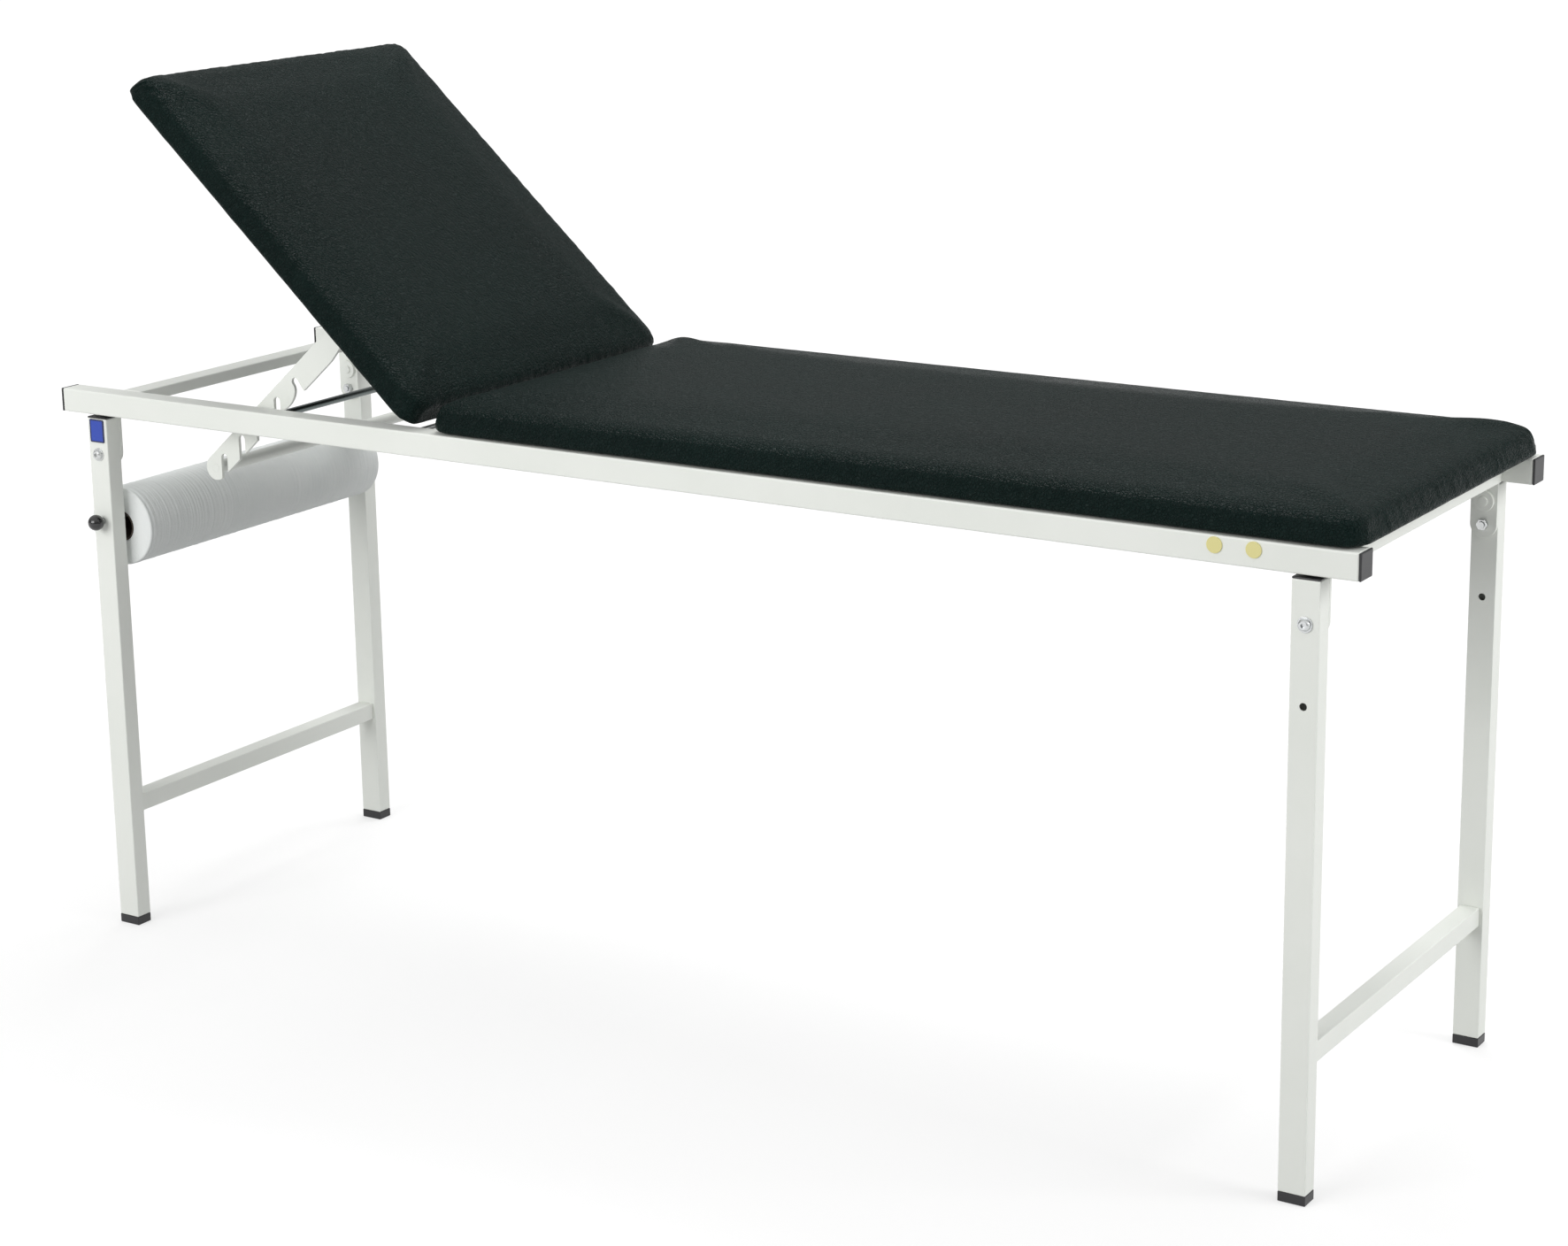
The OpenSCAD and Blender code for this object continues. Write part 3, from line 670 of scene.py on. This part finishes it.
def make_fastener_tree():
    tree, inside, outside = new_group("fasteners", GEOMETRY_TREE, [
        ("Points", GEOMETRY, None), ("Head Radius", FLOAT, 0.007), ("Head Height", FLOAT, 0.005),
        ("Socket Radius", FLOAT, 0.003), ("Shank Radius", FLOAT, 0.004),
        ("Shank Length", FLOAT, 0.02), ("Dome", FLOAT, 0.35),
        ("Finish", "NodeSocketMaterial", None),
    ], [("Fasteners", GEOMETRY)])
    tree.is_modifier = True
    sizes = inside.outputs
    half_height = math_node(tree, "MULTIPLY", sizes["Head Height"], 0.5)
    head = add(tree, "GeometryNodeMeshCylinder", {
        "Radius": sizes["Head Radius"], "Depth": sizes["Head Height"]},
        {"Vertices": 32, "Side Segments": 5, "Fill Segments": 3})
    where = add(tree, "GeometryNodeInputPosition")
    parts = add(tree, "ShaderNodeSeparateXYZ", {0: where.outputs[0]})
    share = math_node(tree, "DIVIDE", math_node(tree, "ADD", parts.outputs["Z"], half_height),
                      sizes["Head Height"])
    inward = math_node(tree, "MULTIPLY", math_node(tree, "POWER", share, 3.0), sizes["Dome"])
    scale = math_node(tree, "SUBTRACT", 1.0, inward)
    domed = add(tree, "ShaderNodeCombineXYZ", {
        0: math_node(tree, "MULTIPLY", parts.outputs["X"], scale),
        1: math_node(tree, "MULTIPLY", parts.outputs["Y"], scale),
        2: math_node(tree, "ADD", parts.outputs["Z"], half_height)})
    shaped = add(tree, "GeometryNodeSetPosition", {
        "Geometry": head.outputs["Mesh"], "Position": domed.outputs[0]})
    socket = add(tree, "GeometryNodeMeshCylinder", {
        "Radius": sizes["Socket Radius"], "Depth": sizes["Head Height"]}, {"Vertices": 6})
    raised = add(tree, "ShaderNodeCombineXYZ", {2: sizes["Head Height"]})
    socket_up = add(tree, "GeometryNodeTransform", {
        "Geometry": socket.outputs["Mesh"], "Translation": raised.outputs[0]})
    cut = add(tree, "GeometryNodeMeshBoolean", operation="DIFFERENCE")
    tree.links.new(shaped.outputs[0], cut.inputs[0])
    tree.links.new(socket_up.outputs[0], cut.inputs[1])
    shank = add(tree, "GeometryNodeMeshCylinder", {
        "Radius": sizes["Shank Radius"], "Depth": sizes["Shank Length"]}, {"Vertices": 20})
    sunk = add(tree, "ShaderNodeCombineXYZ", {
        2: math_node(tree, "MULTIPLY", sizes["Shank Length"], -0.5)})
    shank_down = add(tree, "GeometryNodeTransform", {
        "Geometry": shank.outputs["Mesh"], "Translation": sunk.outputs[0]})
    whole = add(tree, "GeometryNodeJoinGeometry")
    tree.links.new(cut.outputs[0], whole.inputs[0])
    tree.links.new(shank_down.outputs[0], whole.inputs[0])
    facing = add(tree, "GeometryNodeInputNamedAttribute", values={"Name": "facing"},
                 data_type="FLOAT_VECTOR")
    turned = add(tree, "FunctionNodeAlignRotationToVector", {"Vector": facing.outputs[0]},
                 axis="Z")
    copies = add(tree, "GeometryNodeInstanceOnPoints", {
        "Points": sizes["Points"], "Instance": whole.outputs[0],
        "Rotation": turned.outputs[0]})
    solid = add(tree, "GeometryNodeRealizeInstances", {0: copies.outputs[0]})
    dressed = add(tree, "GeometryNodeSetMaterial", {
        "Geometry": solid.outputs[0], "Material": sizes["Finish"]})
    tree.links.new(dressed.outputs[0], outside.inputs[0])
    return tree


fastener_tree = make_fastener_tree()
print("fastener tree has", len(fastener_tree.nodes), "nodes")

# %% Put them in place
SAME_POINT = 0.001 * MM
HEAD_FACE = 0.5 * MM


def run_tree(piece, tree, values):
    """Adds the tree as a modifier, sets its named inputs, and keeps the plain result."""
    modifier = piece.modifiers.new(tree.name, "NODES")
    modifier.node_group = tree
    for item in tree.interface.items_tree:
        if item.in_out == "INPUT" and item.name in values:
            modifier[item.identifier] = values[item.name]
    apply_modifiers(piece)


def solids_of(node_name):
    """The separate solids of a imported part, each as a list of its points."""
    mesh = bmesh.new()
    mesh.from_mesh(nodes[node_name].data)
    bmesh.ops.remove_doubles(mesh, verts=mesh.verts, dist=SAME_POINT)
    left = set(mesh.verts)
    groups = []
    while left:
        stack = [left.pop()]
        group = []
        while stack:
            vert = stack.pop()
            group.append(vert.co.copy())
            for edge in vert.link_edges:
                other = edge.other_vert(vert)
                if other in left:
                    left.remove(other)
                    stack.append(other)
        groups.append(group)
    mesh.free()
    return groups


def fasteners(name, body, replaced, direction_of, sizes):
    """One piece for a packed group: a fastener on each solid, its head at the solid's end."""
    places = []
    facings = []
    for solid in solids_of(replaced):
        centre = sum(solid, Vector()) / len(solid)
        facing = direction_of(centre)
        reach = [p.dot(facing) for p in solid]
        span = (min(reach), max(reach))
        ring = [p for p in solid if p.dot(facing) > span[1] - HEAD_FACE]
        middle = sum(ring, Vector()) / len(ring)
        places.append(middle - facing * sizes["Head Height"])
        facings.append(facing)
    sizes["Shank Length"] = span[1] - span[0] - sizes["Head Height"]
    mesh = bpy.data.meshes.new(name)
    mesh.from_pydata(places, [], [])
    store = mesh.attributes.new("facing", "FLOAT_VECTOR", "POINT")
    store.data.foreach_set("vector", [c for facing in facings for c in facing])
    piece = bpy.data.objects.new(name, mesh)
    bpy.context.scene.collection.objects.link(piece)
    run_tree(piece, fastener_tree, {**sizes, "Finish": zinc})
    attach(piece, body)
    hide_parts(replaced)
    print(name, "made on", len(places), "places")


stand_turn = stand_up.to_3x3()
down = Vector((0, 0, -1))
fasteners("leg_bolt_heads", "frame", "leg_bolts",
          lambda centre: Vector((0, math.copysign(1, centre.y), 0)), {
              "Head Radius": 7.2 * MM, "Head Height": 5 * MM, "Socket Radius": 3.0 * MM,
              "Shank Radius": 4 * MM, "Dome": 0.35})
screw_sizes = {"Head Radius": 4.5 * MM, "Head Height": 2.6 * MM, "Socket Radius": 1.6 * MM,
               "Shank Radius": 2.5 * MM, "Dome": 0.3}
fasteners("seat_wood_screws", "frame", "seat_screws", lambda centre: down, dict(screw_sizes))
fasteners("backrest_wood_screws", "backrest", "backrest_screws",
          lambda centre: stand_turn @ down, dict(screw_sizes))

# %% [markdown]
# ## The paper roll
# Crepe paper never winds dead even: the roll is full of fine rings round its length. Its
# section is a long rectangle whose outer side is rippled by noise, swept round a circle, so
# a Geometry Nodes tree makes the whole roll from its sizes.

# %% The roll tree
ROLL_EDGE = 1.2 * MM
ROLL_STEP = 1.4 * MM
ROLL_ROUND = 96
OUTER_LAYER = 0.5 * MM
RIPPLE_PEAK = 0.72


def make_roll_tree():
    tree, inside, outside = new_group("crepe_roll", GEOMETRY_TREE, [
        ("Geometry", GEOMETRY, None), ("Outer Radius", FLOAT, 0.055),
        ("Inner Radius", FLOAT, 0.021), ("Width", FLOAT, 0.49), ("Ripple", FLOAT, 0.0008),
        ("Ripples per Metre", FLOAT, 240.0), ("Finish", "NodeSocketMaterial", None),
    ], [("Roll", GEOMETRY)])
    tree.is_modifier = True
    sizes = inside.outputs
    thick = math_node(tree, "SUBTRACT", sizes["Outer Radius"], sizes["Inner Radius"])
    middle = math_node(tree, "MULTIPLY",
                       math_node(tree, "ADD", sizes["Outer Radius"], sizes["Inner Radius"]), 0.5)
    section = add(tree, "GeometryNodeCurvePrimitiveQuadrilateral", {
        "Width": thick, "Height": sizes["Width"]})
    rounded = add(tree, "GeometryNodeFilletCurve", {0: section.outputs[0]}, {
        "Radius": ROLL_EDGE, "Count": 3}, mode="POLY")
    fine = add(tree, "GeometryNodeResampleCurve", {"Curve": rounded.outputs[0]},
               {"Length": ROLL_STEP}, mode="LENGTH")
    where = add(tree, "GeometryNodeInputPosition")
    parts = add(tree, "ShaderNodeSeparateXYZ", {0: where.outputs[0]})
    outer_side = math_node(tree, "GREATER_THAN", parts.outputs["X"],
                           math_node(tree, "SUBTRACT", math_node(tree, "MULTIPLY", thick, 0.5),
                                     OUTER_LAYER))
    along = math_node(tree, "MULTIPLY", parts.outputs["Y"], sizes["Ripples per Metre"])
    wave = add(tree, "ShaderNodeTexNoise", {"W": along}, {"Scale": 1.0, "Detail": 3.0},
               noise_dimensions="1D")
    swing = math_node(tree, "SUBTRACT", wave.outputs["Fac"], RIPPLE_PEAK)
    push = math_node(tree, "MULTIPLY", math_node(tree, "MULTIPLY", swing, outer_side),
                     math_node(tree, "MULTIPLY", sizes["Ripple"], 2.0))
    offset = add(tree, "ShaderNodeCombineXYZ", {0: push})
    rippled = add(tree, "GeometryNodeSetPosition", {
        "Geometry": fine.outputs[0], "Offset": offset.outputs[0]})
    circle = add(tree, "GeometryNodeCurvePrimitiveCircle", {"Radius": middle}, {
        "Resolution": ROLL_ROUND})
    swept = add(tree, "GeometryNodeCurveToMesh", {
        "Curve": circle.outputs[0], "Profile Curve": rippled.outputs[0]})
    turned = add(tree, "GeometryNodeTransform", {"Geometry": swept.outputs[0]}, {
        "Rotation": (math.pi / 2, 0, 0)})
    dressed = add(tree, "GeometryNodeSetMaterial", {
        "Geometry": add(tree, "GeometryNodeRealizeInstances", {0: turned.outputs[0]}).outputs[0],
        "Material": sizes["Finish"]})
    tree.links.new(dressed.outputs[0], outside.inputs[0])
    return tree


def outward(piece):
    """Recalculates the face normals of a closed piece so that they point outwards."""
    mesh = bmesh.new()
    mesh.from_mesh(piece.data)
    bmesh.ops.remove_doubles(mesh, verts=mesh.verts, dist=SAME_POINT)
    bmesh.ops.recalc_face_normals(mesh, faces=mesh.faces)
    mesh.to_mesh(piece.data)
    mesh.free()


roll_low, roll_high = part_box("paper_roll")
core_low, core_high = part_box("roll_core")
roll = bpy.data.objects.new("crepe_roll", bpy.data.meshes.new("crepe_roll"))
bpy.context.scene.collection.objects.link(roll)
run_tree(roll, make_roll_tree(), {
    "Outer Radius": (roll_high.x - roll_low.x) / 2, "Inner Radius": (core_high.x - core_low.x) / 2,
    "Width": roll_high.y - roll_low.y, "Finish": paper,
})
roll.data.transform(Matrix.Translation(roll_axis))
outward(roll)
for face in roll.data.polygons:
    face.use_smooth = True
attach(roll, "roll")
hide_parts("paper_roll")
print("roll has", len(roll.data.polygons), "faces")

# %% [markdown]
# ## The label plate
# A small moulded plate with a raised, darker rim. It carries no lettering.

# %% Build the plate
LABEL_CORNER = 2 * MM
LABEL_RIM = 1.6 * MM
LABEL_RIM_HEIGHT = 0.5 * MM
LABEL_SLOPE = 0.4 * MM
ARC_STEPS = 5


def label_ring(low, high, inset):
    radius = max(LABEL_CORNER - inset * 0.7, 0.4 * MM)
    middle = ((low.x + high.x) / 2, (low.z + high.z) / 2)
    half = ((high.x - low.x) / 2 - inset - radius, (high.z - low.z) / 2 - inset - radius)
    ring = []
    for quarter, (side_x, side_z) in enumerate(((1, 1), (-1, 1), (-1, -1), (1, -1))):
        for step in range(ARC_STEPS + 1):
            angle = math.radians(90 * quarter + 90 * step / ARC_STEPS)
            ring.append((middle[0] + side_x * half[0] + radius * math.cos(angle),
                         middle[1] + side_z * half[1] + radius * math.sin(angle)))
    return ring


def make_label():
    low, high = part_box("label_plate")
    levels = [(0, high.y), (0, low.y), (LABEL_SLOPE, low.y - LABEL_RIM_HEIGHT),
              (LABEL_RIM, low.y - LABEL_RIM_HEIGHT), (LABEL_RIM + LABEL_SLOPE, low.y)]
    mesh = bmesh.new()
    rings = [[mesh.verts.new((x, y, z)) for x, z in label_ring(low, high, inset)]
             for inset, y in levels]
    for back, front in zip(rings, rings[1:]):
        for i in range(len(back)):
            j = (i + 1) % len(back)
            mesh.faces.new((back[i], back[j], front[j], front[i])).material_index = 1
    mesh.faces.new(rings[0]).material_index = 1
    mesh.faces.new(rings[-1])
    bmesh.ops.recalc_face_normals(mesh, faces=mesh.faces)
    made = bpy.data.meshes.new("blank_label")
    mesh.to_mesh(made)
    mesh.free()
    label = bpy.data.objects.new("blank_label", made)
    bpy.context.scene.collection.objects.link(label)
    made.materials.append(label_blue)
    made.materials.append(label_rim)
    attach(label, "frame")
    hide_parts("label_plate")
    return label


print("label faces:", len(make_label().data.polygons))

# %% [markdown]
# ## Floor and light
# A white studio: one broad lamp on the near side, weaker ones past the foot end and overhead,
# and an even sky. The camera sees the floor as white except where the table shades it.
# Reflections see a sky that is dim near the horizon, as in a studio whose far wall is dark.

# %% Floor
FLOOR_SIZE = 40
FLOOR_DROP = 0.5 * MM
FLOOR_GREY = 0.42
FLOOR_GLOW = 0.60
FLOOR_GLOW_FAR = 0.80
FLOOR_GLOW_START = 1.2
FLOOR_GLOW_END = 4.5


def make_floor():
    mesh = bmesh.new()
    bmesh.ops.create_grid(mesh, x_segments=1, y_segments=1, size=FLOOR_SIZE / 2)
    made = bpy.data.meshes.new("floor")
    mesh.to_mesh(made)
    mesh.free()
    floor = bpy.data.objects.new("floor", made)
    floor.location.z = -FLOOR_DROP
    bpy.context.scene.collection.objects.link(floor)
    material = bpy.data.materials.new("floor")
    material.use_nodes = True
    tree = material.node_tree
    tree.nodes.remove(tree.nodes["Principled BSDF"])
    path = add(tree, "ShaderNodeLightPath")
    shown = math_node(tree, "MAXIMUM", path.outputs["Is Camera Ray"], math_node(
        tree, "MAXIMUM", path.outputs["Is Glossy Ray"], path.outputs["Is Transmission Ray"]))
    matt = add(tree, "ShaderNodeBsdfDiffuse", values={"Color": (*[FLOOR_GREY] * 3, 1)})
    place = add(tree, "ShaderNodeTexCoord").outputs["Object"]
    distance = add(tree, "ShaderNodeVectorMath", {0: place}, operation="LENGTH")
    level_glow = add(tree, "ShaderNodeMapRange", {"Value": distance.outputs["Value"]}, {
        "From Min": FLOOR_GLOW_START, "From Max": FLOOR_GLOW_END,
        "To Min": FLOOR_GLOW, "To Max": FLOOR_GLOW_FAR})
    glow = add(tree, "ShaderNodeEmission", {
        "Strength": math_node(tree, "MULTIPLY", shown, level_glow.outputs["Result"])})
    both = add(tree, "ShaderNodeAddShader", {0: matt.outputs[0], 1: glow.outputs[0]})
    tree.links.new(both.outputs[0], tree.nodes["Material Output"].inputs["Surface"])
    made.materials.append(material)


make_floor()
print("floor glow:", FLOOR_GLOW)

# %% Sky and lamps
SKY_LIGHT = 0.62
HORIZON_IN_REFLECTIONS = 0.22
TOP_IN_REFLECTIONS = 1.0
HORIZON_END = 0.1
TOP_START = 0.75


def make_sky():
    world = bpy.data.worlds.new("sky")
    world.use_nodes = True
    tree = world.node_tree
    path = add(tree, "ShaderNodeLightPath")
    seen = math_node(tree, "MAXIMUM", path.outputs["Is Camera Ray"],
                     path.outputs["Is Transmission Ray"])
    direction = add(tree, "ShaderNodeSeparateXYZ", {
        "Vector": add(tree, "ShaderNodeTexCoord").outputs["Generated"]})
    high = add(tree, "ShaderNodeMapRange", {"Value": direction.outputs["Z"]}, {
        "From Min": HORIZON_END, "From Max": TOP_START,
        "To Min": HORIZON_IN_REFLECTIONS - SKY_LIGHT, "To Max": TOP_IN_REFLECTIONS - SKY_LIGHT})
    mirrored = math_node(tree, "MULTIPLY", path.outputs["Is Glossy Ray"], high.outputs["Result"])
    strength = math_node(tree, "ADD", mirrored, math_node(
        tree, "ADD", SKY_LIGHT, math_node(tree, "MULTIPLY", seen, 1 - SKY_LIGHT)))
    sky = tree.nodes["Background"]
    sky.inputs["Color"].default_value = (1, 1, 1, 1)
    tree.links.new(strength, sky.inputs["Strength"])
    bpy.context.scene.world = world


def lamp(name, place, target, size, power):
    light = bpy.data.lights.new(name, "AREA")
    light.shape = "RECTANGLE"
    light.size, light.size_y = size
    light.energy = power
    made = bpy.data.objects.new(name, light)
    made.location = place
    made.rotation_euler = (Vector(target) - Vector(place)).to_track_quat("-Z", "Y").to_euler()
    bpy.context.scene.collection.objects.link(made)


make_sky()
lamp("near_side_lamp", (-1.2, -4.2, 2.2), (0, 0, 0.6), (3.0, 2.0), 95)
lamp("foot_end_lamp", (4.5, 0.5, 2.4), (0.4, 0, 0.7), (2.0, 2.0), 80)
lamp("ceiling_lamp", (-0.6, 1.6, 3.6), (-0.2, 0, 0.8), (2.4, 1.0), 50)
bpy.context.scene.view_settings.view_transform = "Standard"
print("lamps placed")
